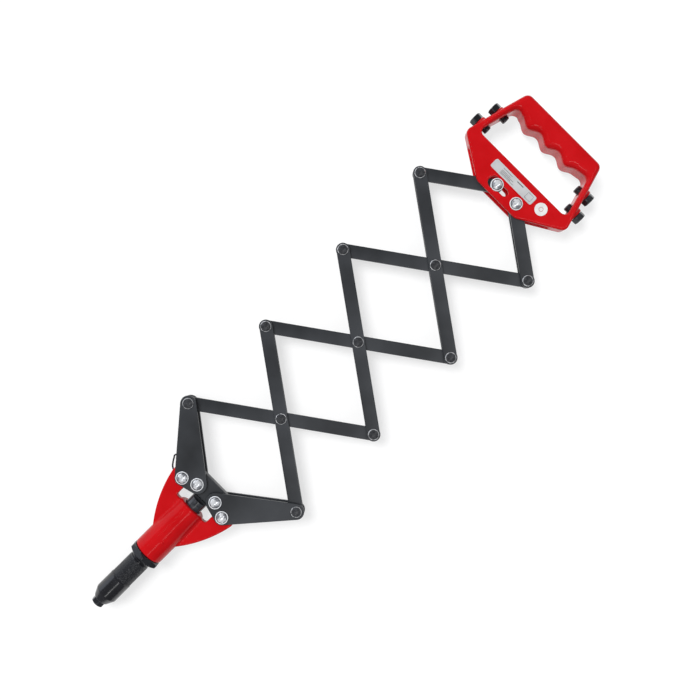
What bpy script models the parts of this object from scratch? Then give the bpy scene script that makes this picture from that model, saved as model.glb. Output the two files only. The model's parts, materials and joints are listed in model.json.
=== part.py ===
"""Lazy-tong hand riveter: nose, housing, two lever arms, three scissor cells and a D-shaped handle.

Lengths are in millimetres and are scaled to metres as each mesh is made. +X runs from the nose to the
handle, +Y to the left, +Z up; the tool lies flat, as on a bench. Every body hangs from an empty that
stands on the body's joint axis, and the pieces are drawn in that empty's own frame.
"""

import math

import bmesh
import bpy
from mathutils import Matrix, Vector

MM = 0.001
SMOOTH_ANGLE = math.radians(35)

# Layers of the flat linkage, as heights above the tool's mid-plane
GAP = 0.25
SINGLE_HALF = 2.0
PLATE_LOW, PLATE_HIGH = SINGLE_HALF + GAP, 5.05
LEVER_LOW, LEVER_HIGH = PLATE_HIGH + GAP, 8.3
CHEEK_LOW, CHEEK_HIGH = LEVER_LOW, 9.3

# Scissor cells
HALF_LINK = 94.1
SHORT_LINK = 77.6
FOLD_ANGLE = math.radians(54.5)
LINK_HALF_WIDTH = 6.35
LINK_END_RADIUS = 6.7
PIN_RADIUS = 3.0
PIN_HOLE_RADIUS = 3.3
CELL_X = HALF_LINK * math.cos(FOLD_ANGLE)
CELL_Y = HALF_LINK * math.sin(FOLD_ANGLE)

# Lever arms: outer pivot on the housing, inner pin in the yoke, far end on the first links
LEVER_PIVOT_X, LEVER_PIVOT_Y = -111.3, 28.0
LEVER_REACH_X, LEVER_REACH_Y = -LEVER_PIVOT_X - CELL_X, CELL_Y - LEVER_PIVOT_Y
LEVER_ARM = math.hypot(LEVER_REACH_X, LEVER_REACH_Y)
LEVER_ANGLE = math.atan2(LEVER_REACH_Y, LEVER_REACH_X)
INNER_PIN_DX, INNER_PIN_DY = 5.9, -15.3
LEVER_END_R, LEVER_PIVOT_R, LEVER_INNER_R = 8.0, 7.8, 9.6
OPEN_PIVOT_SHANK, OPEN_PIVOT_HOLE = 2.0, 4.6

# Nose and housing, along the tool's axis
NOSE_TIP = -263.4
NOSEPIECE_HEAD, NOSEPIECE_THREAD = 6.0, 14.0
NOSEPIECE_FLATS, THREAD_RADIUS = 12.0, 4.5
CONE_FRONT, CONE_REAR = -257.2, -249.0
KNURL_FRONT, NECK_FRONT, NECK_REAR = -228.0, -201.0, -177.0
NUT_FRONT, NUT_REAR, NUT_FLATS, NUT_TURN = -197.0, -190.3, 32.0, math.radians(3)
BARREL_RADIUS, KNURL_RADIUS, NECK_RADIUS, BARREL_BORE = 12.0, 11.5, 10.6, 8.9
TUBE_RADIUS, TUBE_FRONT, TUBE_REAR = 16.2, -190.0, -126.0
TUBE_STEP, TUBE_BORE, TAPER_FROM, TUBE_TAPER = -176.0, 9.3, -166.0, 1.2
WING_TIP_RADIUS, WING_EDGE_RADIUS, WING_TIP_END, WING_INNER_Y = 13.0, 128.0, 102.3, 20.3

# The tool lies on a corner of the lock nut, so that corner sets the height of its axis
AXIS_HEIGHT = NUT_FLATS / math.sqrt(3) * math.cos(NUT_TURN)

# Draw bar, jaw case and jaws
BAR_RADIUS, BAR_SHOULDER, BAR_REAR, BAR_FLATS_FROM = 9.0, -168.0, -113.8, -116.8
BAR_STUD_RADIUS, BAR_STUD_END = 4.0, -97.0
MANDREL_BORE, MANDREL_BORE_END = 2.3, -185.0
CASE_FRONT, CASE_REAR, CASE_RADIUS = -235.5, -203.0, 8.6
CASE_MOUTH, CASE_CHAMBER, CONE_LENGTH = 3.6, 6.4, 14.0
STEM_FRONT = CASE_REAR - 8
JAW_TRAVEL = 1.5
YOKE_FRONT, YOKE_REAR, YOKE_HALF_WIDTH = -113.5, -92.0, 19.5

# Pin heads: flange radius, crown radius and crown height
LINK_RIVET_HEAD = (5.7, 4.6, 2.4)
SILVER_PIN_HEAD = (6.6, 5.4, 2.1)

# Handle, in its own frame: origin on the fixed pin
GRIP_HALF_HEIGHT = 16.0
GRIP_OUTER = 87.8
FINGER_PITCH, FINGER_DEPTH = 26.0, 2.7
FINGER_MEAN_X, FINGER_CENTRE_Y = 63.5, 19.1
SLOT_NEAR, SLOT_FAR, SLOT_HALF_WIDTH, SLOT_END_RADIUS = 16.0, 30.9, 3.8, 6.2
NOSEPIECE_STORES = ((34.1, 85.5, 1), (54.3, 79.5, 1), (36.8, -51.5, -1), (56.3, -45.5, -1))
NOSEPIECE_BORES = (1.3, 1.7, 2.1, 2.5)
BOSS_RADIUS, BOSS_REACH, STORE_DEPTH = 7.2, 6.0, 18.0
LINK_ROOM_END = 8.8
LABEL_NEAR, LABEL_FAR, LABEL_RIGHT, LABEL_LEFT = 8.6, 18.8, -10.9, 45.6
BADGE_X, BADGE_Y, BADGE_RADIUS, PLATE_THICKNESS = 13.6, -21.5, 6.6, 0.5

# Wire catch
CATCH_WIRE, CATCH_EYE = 0.9, 4.7

HANDLE_X = 5 * CELL_X + SHORT_LINK * math.cos(FOLD_ANGLE)
HANDLE_Y = -(HALF_LINK - SHORT_LINK) * math.sin(FOLD_ANGLE)
MIDDLE_X = (NOSE_TIP + HANDLE_X + GRIP_OUTER) / 2


# ---------------------------------------------------------------- outlines

def arc(cx, cy, radius, start, end, steps):
    """Points along an arc, from start to end in degrees."""
    angles = (math.radians(start + (end - start) * i / steps) for i in range(steps + 1))
    return [(cx + radius * math.cos(a), cy + radius * math.sin(a)) for a in angles]


def circle(cx, cy, radius, steps=12):
    return arc(cx, cy, radius, 0, 360, steps)[:-1]


def rounded(corners, steps=4):
    """Closed outline through (x, y, radius) corners, each replaced by an arc of its radius."""
    points = []
    for i, (x, y, radius) in enumerate(corners):
        corner = Vector((x, y))
        if radius == 0:
            points.append((x, y))
            continue
        before = (Vector(corners[i - 1][:2]) - corner).normalized()
        after = (Vector(corners[(i + 1) % len(corners)][:2]) - corner).normalized()
        half = before.angle(after) / 2
        centre = corner + (before + after).normalized() * radius / math.sin(half)
        tangent = radius / math.tan(half)
        first, last = corner + before * tangent - centre, corner + after * tangent - centre
        for step in range(steps + 1):
            spoke = first.lerp(last, step / steps).normalized() * radius
            points.append(tuple(centre + spoke))
    return points


def hull(circles, steps=24):
    """Convex outline round circles given as (x, y, radius)."""
    cloud = sorted(p for x, y, r in circles for p in circle(x, y, r, steps))
    chains = []
    for ordered in (cloud, cloud[::-1]):
        chain = []
        for p in ordered:
            while len(chain) > 1 and turn(chain[-2], chain[-1], p) <= 1e-6:
                chain.pop()
            chain.append(p)
        chains += chain[:-1]
    return chains


def turn(a, b, c):
    """Positive where the path a, b, c bends to the left."""
    return (b[0] - a[0]) * (c[1] - a[1]) - (b[1] - a[1]) * (c[0] - a[0])


def link_outline(start, end, steps=8):
    """Bar with two round ends that bulge a little past its sides."""
    side = 180 - math.degrees(math.asin(LINK_HALF_WIDTH / LINK_END_RADIUS))
    return arc(end, 0, LINK_END_RADIUS, -side, side, steps) + \
        arc(start, 0, LINK_END_RADIUS, 180 - side, 180 + side, steps)


def finger_edge(offset, steps=18):
    """Wavy inner edge of the grip, from its left end to its right end."""
    top = FINGER_CENTRE_Y + 1.5 * FINGER_PITCH
    points = []
    for i in range(steps + 1):
        y = top - 3 * FINGER_PITCH * i / steps
        phase = math.tau * (y - FINGER_CENTRE_Y) / FINGER_PITCH
        points.append((FINGER_MEAN_X + offset - FINGER_DEPTH * math.cos(phase), y))
    return points


# ---------------------------------------------------------------- solids

def prism(outline, low, high, holes=()):
    """Flat plate between two heights, with through holes."""
    bm = bmesh.new()
    for ring in (outline, *holes):
        verts = [bm.verts.new((x, y, low)) for x, y in ring]
        for a, b in zip(verts, verts[1:] + verts[:1]):
            bm.edges.new((a, b))
    bmesh.ops.triangle_fill(bm, use_beauty=True, edges=bm.edges[:], normal=(0, 0, 1))
    raised = bmesh.ops.extrude_face_region(bm, geom=bm.faces[:], use_keep_orig=True)
    verts = [g for g in raised["geom"] if isinstance(g, bmesh.types.BMVert)]
    bmesh.ops.translate(bm, vec=(0, 0, high - low), verts=verts)
    bmesh.ops.recalc_face_normals(bm, faces=bm.faces[:])
    return bm


def turned(profile, steps=24):
    """Solid of revolution about Z from (radius, height) points; an open run on the axis stays open."""
    bm = bmesh.new()
    verts = [bm.verts.new((r, 0, z)) for r, z in profile]
    pairs = zip(verts, verts[1:] + verts[:1])
    edges = [bm.edges.new((a, b)) for a, b in pairs if a.co.x > 0 or b.co.x > 0]
    bmesh.ops.spin(bm, geom=verts + edges, axis=(0, 0, 1), cent=(0, 0, 0), angle=math.tau,
                   steps=steps, use_merge=True)
    bmesh.ops.remove_doubles(bm, verts=bm.verts[:], dist=1e-4)
    bmesh.ops.recalc_face_normals(bm, faces=bm.faces[:])
    return bm


def turned_along_x(profile, steps=24):
    """Solid of revolution about X from (x, radius) points."""
    bm = turned([(r, x) for x, r in profile], steps)
    bmesh.ops.transform(bm, matrix=Matrix.Rotation(math.pi / 2, 4, "Y"), verts=bm.verts[:])
    return bm


def hexagon(across_flats, turn_by=0.0):
    return [tuple(Matrix.Rotation(turn_by, 2) @ Vector(p))
            for p in circle(0, 0, across_flats / math.sqrt(3), 6)]


def bevel_caps(bm, width, segments=2):
    """Rounds the rims of a prism's two flat faces."""
    heights = [v.co.z for v in bm.verts]
    ends = (min(heights), max(heights))
    rims = [e for e in bm.edges if len(e.link_faces) == 2 and e.calc_face_angle(0) > 1
            and any(all(abs(v.co.z - h) < 1e-4 for v in e.verts) for h in ends)]
    bmesh.ops.bevel(bm, geom=rims, offset=width, segments=segments, profile=0.5, affect="EDGES")
    return bm


# ---------------------------------------------------------------- scene

def clear_scene():
    for obj in list(bpy.data.objects):
        bpy.data.objects.remove(obj, do_unlink=True)


def finish(name, colour, roughness, metallic):
    material = bpy.data.materials.new(name)
    material.use_nodes = True
    shader = material.node_tree.nodes["Principled BSDF"]
    shader.inputs["Base Color"].default_value = (*colour, 1)
    shader.inputs["Roughness"].default_value = roughness
    shader.inputs["Metallic"].default_value = metallic
    return material


def body(name, x, y, angle=0.0):
    """Empty on a body's joint axis; the body's pieces are drawn in its frame."""
    empty = bpy.data.objects.new(name, None)
    empty.location = Vector((x - MIDDLE_X, y, AXIS_HEIGHT)) * MM
    empty.rotation_euler = (0, 0, angle)
    bpy.context.scene.collection.objects.link(empty)
    return empty


def piece(name, bm, parent, material, at=(0, 0, 0), rotation=(0, 0, 0)):
    bmesh.ops.scale(bm, vec=(MM, MM, MM), verts=bm.verts[:])
    mesh = bpy.data.meshes.new(name)
    bm.to_mesh(mesh)
    bm.free()
    mesh.shade_smooth()
    mesh.set_sharp_from_angle(angle=SMOOTH_ANGLE)
    mesh.materials.append(material)
    obj = bpy.data.objects.new(name, mesh)
    obj.parent = parent
    obj.location = Vector(at) * MM
    obj.rotation_euler = rotation
    bpy.context.scene.collection.objects.link(obj)
    return obj


def combine(target, operation, name, bm, at=(0, 0, 0), rotation=(0, 0, 0)):
    """Joins a shape to the target (UNION) or cuts it away (DIFFERENCE)."""
    tool = piece(f"{target.name}_{name}_shape", bm, target.parent, target.data.materials[0], at, rotation)
    tool.hide_render = True
    tool.display_type = "WIRE"
    step = target.modifiers.new(name, "BOOLEAN")
    step.operation = operation
    step.solver = "EXACT"
    step.object = tool


# ---------------------------------------------------------------- nose and housing

def make_nosepiece(name, parent, material, bore, at, rotation=(0, 0, 0)):
    """Hexagonal head with a plain stub for its thread; the bore takes a rivet's mandrel.

    Drawn along +Z, from the seat under its head: the head below zero, the thread above.
    """
    chamfer, tip = 0.9, 1.0
    obj = piece(name, prism(hexagon(NOSEPIECE_FLATS), -NOSEPIECE_HEAD, 0), parent, material, at, rotation)
    thread = turned([(0, -1), (THREAD_RADIUS, -1), (THREAD_RADIUS, NOSEPIECE_THREAD - tip),
                     (THREAD_RADIUS - chamfer, NOSEPIECE_THREAD), (0, NOSEPIECE_THREAD)], 16)
    combine(obj, "UNION", "thread", thread, at, rotation)
    hole = turned([(0, -NOSEPIECE_HEAD - 1), (bore, -NOSEPIECE_HEAD - 1),
                   (bore, NOSEPIECE_THREAD + 1), (0, NOSEPIECE_THREAD + 1)], 12)
    combine(obj, "DIFFERENCE", "bore", hole, at, rotation)


def make_nose(root, black):
    front_radius, step, front_wall = 8.3, 0.6, 12.5
    profile = [(CONE_FRONT, THREAD_RADIUS + GAP), (CONE_FRONT, front_radius), (CONE_REAR, BARREL_RADIUS),
               (KNURL_FRONT, BARREL_RADIUS), (KNURL_FRONT + step, KNURL_RADIUS),
               (NECK_FRONT - step, KNURL_RADIUS), (NECK_FRONT, NECK_RADIUS), (NECK_REAR, NECK_RADIUS),
               (NECK_REAR, BARREL_BORE), (CONE_FRONT + front_wall, BARREL_BORE),
               (CONE_FRONT + front_wall, THREAD_RADIUS + GAP)]
    piece("nose_barrel", turned_along_x(profile, 28), root, black)
    make_nosepiece("nosepiece_fitted", root, black, NOSEPIECE_BORES[1],
                   (NOSE_TIP + NOSEPIECE_HEAD, 0, 0), (0, math.pi / 2, 0))
    nut = prism(hexagon(NUT_FLATS, NUT_TURN), NUT_FRONT, NUT_REAR, [circle(0, 0, NECK_RADIUS + GAP, 28)])
    obj = piece("lock_nut", nut, root, black, (0, 0, 0), (0, math.pi / 2, 0))
    corner, chamfer = NUT_FLATS / math.sqrt(3), 1.2
    face, side = corner - 3.2, corner + 0.3
    rims = [(NUT_FRONT - 1, 0), (NUT_FRONT - 1, face), (NUT_FRONT + chamfer, side),
            (NUT_REAR - chamfer, side), (NUT_REAR + 1, face), (NUT_REAR + 1, 0)]
    combine(obj, "INTERSECT", "chamfer", turned_along_x(rims, 28))


def wing_outline(side):
    """Half of the housing's fork: a lobe over the lever pivot, then one long arc down to the tube."""
    root_y = (TUBE_BORE + TUBE_RADIUS) / 2
    start = -math.degrees(math.asin((LEVER_PIVOT_Y - WING_INNER_Y) / WING_TIP_RADIUS))
    lobe = arc(LEVER_PIVOT_X, LEVER_PIVOT_Y, WING_TIP_RADIUS, start, WING_TIP_END, 12)
    reach, heading = WING_EDGE_RADIUS - WING_TIP_RADIUS, math.radians(WING_TIP_END)
    edge_x, edge_y = LEVER_PIVOT_X - reach * math.cos(heading), LEVER_PIVOT_Y - reach * math.sin(heading)
    edge_end = 180 - math.degrees(math.asin((root_y - edge_y) / WING_EDGE_RADIUS))
    edge = arc(edge_x, edge_y, WING_EDGE_RADIUS, WING_TIP_END, edge_end, 8)
    points = lobe + edge[1:] + [(TUBE_REAR - 2, root_y), (TUBE_REAR - 2, WING_INNER_Y)]
    return [(x, side * y) for x, y in points]


def make_housing(root, red):
    front_wall = NECK_RADIUS + GAP
    rear_radius = TUBE_RADIUS - TUBE_TAPER
    profile = [(TUBE_FRONT, front_wall), (TUBE_FRONT, TUBE_RADIUS - 1), (TUBE_FRONT + 1, TUBE_RADIUS),
               (TAPER_FROM, TUBE_RADIUS), (TUBE_REAR - 4, rear_radius), (TUBE_REAR - 1.2, rear_radius - 1.2),
               (TUBE_REAR, rear_radius - 3.6), (TUBE_REAR, TUBE_BORE), (TUBE_STEP, TUBE_BORE),
               (TUBE_STEP, front_wall)]
    housing = piece("housing", turned_along_x(profile, 32), root, red)
    for name, side in (("left_wing", 1), ("right_wing", -1)):
        combine(housing, "UNION", name, prism(wing_outline(side), -PLATE_HIGH, PLATE_HIGH))
    for name, side in (("left_pivot", 1), ("right_pivot", -1)):
        hole = circle(LEVER_PIVOT_X, side * LEVER_PIVOT_Y, PIN_HOLE_RADIUS)
        combine(housing, "DIFFERENCE", name, prism(hole, -LEVER_HIGH, LEVER_HIGH))


# ---------------------------------------------------------------- draw bar and jaws

def cone_radius(x):
    """Radius of the jaw case's taper at x."""
    return CASE_MOUTH + (x - CASE_FRONT) * (CASE_CHAMBER - CASE_MOUTH) / CONE_LENGTH


def make_draw_bar(drawn, black):
    stem = CASE_CHAMBER - GAP
    profile = [(STEM_FRONT, MANDREL_BORE), (STEM_FRONT, stem), (BAR_SHOULDER - 2, stem),
               (BAR_SHOULDER, BAR_RADIUS), (BAR_REAR, BAR_RADIUS), (BAR_REAR, BAR_STUD_RADIUS),
               (BAR_STUD_END, BAR_STUD_RADIUS), (BAR_STUD_END, 0), (MANDREL_BORE_END, 0),
               (MANDREL_BORE_END, MANDREL_BORE)]
    bar = piece("draw_bar", turned_along_x(profile, 24), drawn, black)
    half = BAR_RADIUS + 1
    rear = [(BAR_FLATS_FROM, -half), (BAR_REAR + 2, -half), (BAR_REAR + 2, half), (BAR_FLATS_FROM, half)]
    for name, low, high in (("upper_flat", PLATE_HIGH, half), ("lower_flat", -half, -PLATE_HIGH)):
        combine(bar, "DIFFERENCE", name, prism(rear, low, high))


def make_jaw_case(drawn, steel):
    profile = [(CASE_FRONT, CASE_MOUTH), (CASE_FRONT, CASE_RADIUS - 1), (CASE_FRONT + 1, CASE_RADIUS),
               (CASE_REAR, CASE_RADIUS), (CASE_REAR, CASE_CHAMBER),
               (CASE_FRONT + CONE_LENGTH, CASE_CHAMBER)]
    piece("jaw_case", turned_along_x(profile, 24), drawn, steel)


def make_yoke(drawn, black):
    """Cross-plate on the draw bar, with a slot for each lever's inner pin."""
    front, rear, half = YOKE_FRONT, YOKE_REAR, YOKE_HALF_WIDTH
    front_corner, rear_corner = 4.0, 3.0
    outline = rounded([(front, -half, front_corner), (rear, -half, rear_corner),
                       (rear, half, rear_corner), (front, half, front_corner)])
    centre_x, half_width, inner, outer = LEVER_PIVOT_X + INNER_PIN_DX, 3.5, 11.3, 14.5
    slots = []
    for side in (1, -1):
        slot = arc(centre_x, outer, half_width, 0, 180, 6) + arc(centre_x, inner, half_width, 180, 360, 6)
        slots.append([(x, side * y) for x, y in slot])
    yoke = piece("yoke", prism(outline, -PLATE_HIGH, PLATE_HIGH, slots), drawn, black)
    reach = turned_along_x([(front - 1, 0), (front - 1, BAR_STUD_RADIUS + GAP),
                            (rear + 1, BAR_STUD_RADIUS + GAP), (rear + 1, 0)], 16)
    combine(yoke, "DIFFERENCE", "stud_hole", reach)


def make_jaws(bodies, steel):
    """Three jaws that close on the mandrel as the case's taper pushes them in."""
    front, rear, slack, bore, split = CASE_FRONT + 0.3, CASE_FRONT + 11.0, 0.28, 1.0, 0.5
    for index, parent in enumerate(bodies):
        jaw = turned_along_x([(front, bore), (front, cone_radius(front) - slack),
                              (rear, cone_radius(rear) - slack), (rear, bore)], 18)
        obj = piece(f"jaw_{index + 1}", jaw, parent, steel, (0, 0, 0), (index * math.tau / 3, 0, 0))
        reach = 20
        sector = [(0, 0), (reach * math.cos(math.pi / 3), reach * math.sin(math.pi / 3)),
                  (reach, 0), (reach * math.cos(math.pi / 3), -reach * math.sin(math.pi / 3))]
        wedge = prism([(x + split, y) for x, y in sector], rear - 20, rear + 5)
        bmesh.ops.transform(wedge, matrix=Matrix.Rotation(math.pi / 2, 4, "Y"), verts=wedge.verts[:])
        combine(obj, "INTERSECT", "sector", wedge, (0, 0, 0), (index * math.tau / 3, 0, 0))


def make_jaw_spring(drawn, pusher_body, steel):
    front = CASE_FRONT + 11.4
    pusher = [(front, 1.6), (front, 3.0), (front + 2, 5.6), (front + 4, 5.6), (front + 4, 1.6)]
    piece("jaw_pusher", turned_along_x(pusher, 18), pusher_body, steel)
    wire, mean, coils, steps = 0.5, 5.0, 4, 12
    start, end = front + 4 + JAW_TRAVEL + wire + GAP, STEM_FRONT - wire - GAP
    curve = bpy.data.curves.new("jaw_spring", "CURVE")
    curve.dimensions = "3D"
    curve.bevel_depth = wire * MM
    curve.bevel_resolution = 1
    curve.use_fill_caps = True
    spline = curve.splines.new("POLY")
    count = coils * steps + 1
    spline.points.add(count - 1)
    for i, point in enumerate(spline.points):
        angle = math.tau * i / steps
        x = start + (end - start) * i / (count - 1)
        point.co = (x * MM, mean * math.cos(angle) * MM, mean * math.sin(angle) * MM, 1)
    curve.materials.append(steel)
    spring = bpy.data.objects.new("jaw_spring", curve)
    spring.parent = drawn
    bpy.context.scene.collection.objects.link(spring)


# ---------------------------------------------------------------- pins

def rivet(grip_low, grip_high, head, shank=PIN_RADIUS, flange=0.9):
    """Pin with a flanged, flat-topped crown at each end; grip_low and grip_high are its two seats."""
    head_radius, crown_radius, crown_height = head
    upper = [(shank, grip_high), (head_radius, grip_high), (head_radius, grip_high + flange),
             (crown_radius, grip_high + flange), (crown_radius * 0.65, grip_high + flange + crown_height),
             (0, grip_high + flange + crown_height)]
    lower = [(0, grip_low - flange - crown_height),
             (crown_radius * 0.65, grip_low - flange - crown_height), (crown_radius, grip_low - flange),
             (head_radius, grip_low - flange), (head_radius, grip_low), (shank, grip_low)]
    return turned(lower + upper, 12)


def link_rivet(name, parent, material, x):
    seat = PLATE_HIGH + GAP
    piece(name, rivet(-seat, seat, LINK_RIVET_HEAD), parent, material, (x, 0, 0))


def silver_pin(name, parent, material, x, y, seat, low_seat=None):
    low = seat if low_seat is None else low_seat
    piece(name, rivet(-low, seat, SILVER_PIN_HEAD), parent, material, (x, y, 0))


def washer(name, parent, material, x, low, high, outer=6.0, inner=PIN_HOLE_RADIUS):
    profile = [(inner, low), (outer, low), (outer, high), (inner, high)]
    piece(name, turned(profile, 16), parent, material, (x, 0, 0))


# ---------------------------------------------------------------- levers and links

def make_lever(name, parent, side, black, zinc):
    """Pair of triangular plates with their three pins, drawn along the arm from the outer pivot."""
    to_arm = Matrix.Rotation(-side * LEVER_ANGLE, 2)
    inner = to_arm @ Vector((INNER_PIN_DX, side * INNER_PIN_DY))
    outline = hull([(0, 0, LEVER_PIVOT_R), (inner.x, inner.y, LEVER_INNER_R), (LEVER_ARM, 0, LEVER_END_R)])
    end_shank = PIN_RADIUS if side > 0 else OPEN_PIVOT_SHANK
    holes = [circle(0, 0, PIN_HOLE_RADIUS), circle(inner.x, inner.y, PIN_HOLE_RADIUS),
             circle(LEVER_ARM, 0, end_shank + 0.3)]
    piece(f"{name}_upper_plate", prism(outline, LEVER_LOW, LEVER_HIGH, holes), parent, black)
    piece(f"{name}_lower_plate", prism(outline, -LEVER_HIGH, -LEVER_LOW, holes), parent, black)
    seat = LEVER_HIGH + GAP
    catch_room = CATCH_WIRE * 2 + GAP if side > 0 else 0
    silver_pin(f"{name}_pivot_pin", parent, zinc, 0, 0, seat, seat + catch_room)
    silver_pin(f"{name}_yoke_pin", parent, zinc, inner.x, inner.y, seat)
    end_rivet = rivet(-seat, seat, LINK_RIVET_HEAD, end_shank)
    piece(f"{name}_end_rivet", end_rivet, parent, zinc, (LEVER_ARM, 0, 0))
    if side > 0:
        washer(f"{name}_upper_spacer", parent, zinc, LEVER_ARM, PLATE_LOW, PLATE_HIGH)
        washer(f"{name}_lower_spacer", parent, zinc, LEVER_ARM, -PLATE_HIGH, -PLATE_LOW)
    else:
        washer(f"{name}_middle_spacer", parent, zinc, LEVER_ARM, -SINGLE_HALF, SINGLE_HALF, 5.5,
               OPEN_PIVOT_SHANK + 0.3)


def make_link(name, parent, black, joint_at, length, first_hole=PIN_HOLE_RADIUS, single=False):
    """One bar, or a pair of thinner ones; joint_at is how far along it its own joint lies."""
    start, end = -joint_at, length - joint_at
    holes = [circle(start, 0, first_hole, 16 if first_hole > PIN_HOLE_RADIUS else 12),
             circle(end, 0, PIN_HOLE_RADIUS)]
    if length > HALF_LINK:
        holes.append(circle(start + HALF_LINK, 0, PIN_HOLE_RADIUS))
    outline = link_outline(start, end)
    if single:
        piece(name, prism(outline, -SINGLE_HALF, SINGLE_HALF, holes), parent, black)
        return
    piece(f"{name}_upper", prism(outline, PLATE_LOW, PLATE_HIGH, holes), parent, black)
    piece(f"{name}_lower", prism(outline, -PLATE_HIGH, -PLATE_LOW, holes), parent, black)


def make_scissors(black, zinc):
    """Three crossed cells and two short links; bars that fall to the right are single, the others pairs."""
    full = 2 * HALF_LINK
    down, up = -FOLD_ANGLE, FOLD_ANGLE
    bar_1a = body("link_1a_joint", -CELL_X, CELL_Y, down)
    bar_1b = body("link_1b_joint", 0, 0, up)
    bar_2a = body("link_2a_joint", CELL_X, CELL_Y, down)
    bar_2b = body("link_2b_joint", CELL_X, -CELL_Y, up)
    bar_3a = body("link_3a_joint", 3 * CELL_X, CELL_Y, down)
    bar_3b = body("link_3b_joint", 3 * CELL_X, -CELL_Y, up)
    bar_4a = body("link_4a_joint", 5 * CELL_X, CELL_Y, down)
    bar_4b = body("link_4b_joint", 5 * CELL_X, -CELL_Y, up)
    for cell, (falling, rising, joint_at) in enumerate(((bar_1a, bar_1b, HALF_LINK), (bar_2a, bar_2b, 0),
                                                        (bar_3a, bar_3b, 0)), start=1):
        make_link(f"link_{cell}a", falling, black, 0, full, single=True)
        make_link(f"link_{cell}b", rising, black, joint_at, full,
                  OPEN_PIVOT_HOLE if cell == 1 else PIN_HOLE_RADIUS)
        link_rivet(f"centre_rivet_{cell}", falling, zinc, HALF_LINK)
        link_rivet(f"right_rivet_{cell}", falling, zinc, full)
        link_rivet(f"left_rivet_{cell}", rising, zinc, full - joint_at)
    make_link("link_4a", bar_4a, black, 0, SHORT_LINK, single=True)
    make_link("link_4b", bar_4b, black, 0, SHORT_LINK)
    return bar_4a


# ---------------------------------------------------------------- handle

def make_handle(grip, red, black):
    beyond = CHEEK_HIGH + 3
    outer = rounded([(-10.8, -9.3, 10), (16.3, -54.9, 7), (GRIP_OUTER - 0.4, -33.7, 7),
                     (GRIP_OUTER - 0.4, 68.9, 7), (17.1, 88.0, 7), (-10.8, 44.2, 10)])
    corners = [(67.6, -32.9, 7), (25.9, -44.9, 5), (25.6, 78.3, 5), (67.6, 66.3, 7)]
    opening = rounded(corners) + finger_edge(0.4)
    handle = piece("handle", prism(outer, -CHEEK_HIGH, CHEEK_HIGH, [opening]), grip, red)
    thick = finger_edge(0.0) + rounded([(66.5, -31.5, 3), (GRIP_OUTER, -33.0, 7), (GRIP_OUTER, 68.0, 7),
                                        (66.5, 64.5, 3)])
    combine(handle, "UNION", "grip", bevel_caps(prism(thick, -GRIP_HALF_HEIGHT, GRIP_HALF_HEIGHT), 4.5))
    for index, (x, seat, side) in enumerate(NOSEPIECE_STORES, start=1):
        turn_to = (side * math.pi / 2, 0, 0)
        boss = turned([(0, 0.01), (BOSS_RADIUS, 0.01), (BOSS_RADIUS, BOSS_REACH), (0, BOSS_REACH)], 16)
        combine(handle, "UNION", f"boss_{index}", boss, (x, seat, 0), turn_to)
    room = [(-30, -80), (LINK_ROOM_END, -80), (LINK_ROOM_END, 110), (-30, 110)]
    combine(handle, "DIFFERENCE", "link_room", prism(room, -CHEEK_LOW, CHEEK_LOW))
    combine(handle, "DIFFERENCE", "pin_hole", prism(circle(0, 0, PIN_HOLE_RADIUS), -beyond, beyond))
    neck = math.degrees(math.asin(SLOT_HALF_WIDTH / SLOT_END_RADIUS))
    keyhole = arc(0, SLOT_FAR, SLOT_END_RADIUS, -90 + neck, 270 - neck, 10) + \
        arc(0, SLOT_NEAR, SLOT_HALF_WIDTH, 180, 360, 6)
    combine(handle, "DIFFERENCE", "keyhole", prism(keyhole, -beyond, beyond))
    for index, (x, seat, side) in enumerate(NOSEPIECE_STORES, start=1):
        turn_to = (side * math.pi / 2, 0, 0)
        radius = THREAD_RADIUS + GAP
        bore = turned([(0, -1), (radius, -1), (radius, STORE_DEPTH), (0, STORE_DEPTH)], 14)
        combine(handle, "DIFFERENCE", f"store_{index}", bore, (x, seat, 0), turn_to)
        make_nosepiece(f"nosepiece_spare_{index}", grip, black, NOSEPIECE_BORES[index - 1],
                       (x, seat + side * GAP, 0), turn_to)


def make_handle_fittings(grip, slider, zinc, label_grey, white):
    seat = CHEEK_HIGH + GAP
    silver_pin("handle_pivot_pin", grip, zinc, 0, 0, seat)
    washer("handle_middle_spacer", grip, zinc, 0, -SINGLE_HALF, SINGLE_HALF)
    silver_pin("handle_slot_pin", slider, zinc, SHORT_LINK, 0, seat)
    washer("slot_pin_upper_spacer", slider, zinc, SHORT_LINK, PLATE_LOW, PLATE_HIGH)
    washer("slot_pin_lower_spacer", slider, zinc, SHORT_LINK, -PLATE_HIGH, -PLATE_LOW)
    plate = rounded([(LABEL_NEAR, LABEL_RIGHT, 2), (LABEL_FAR, LABEL_RIGHT, 2),
                     (LABEL_FAR, LABEL_LEFT, 2), (LABEL_NEAR, LABEL_LEFT, 2)], 3)
    piece("label_plate", prism(plate, seat, seat + PLATE_THICKNESS), grip, label_grey)
    badge = circle(BADGE_X, BADGE_Y, BADGE_RADIUS, 20)
    piece("round_badge", prism(badge, seat, seat + PLATE_THICKNESS), grip, white)


# ---------------------------------------------------------------- wire catch

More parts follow.
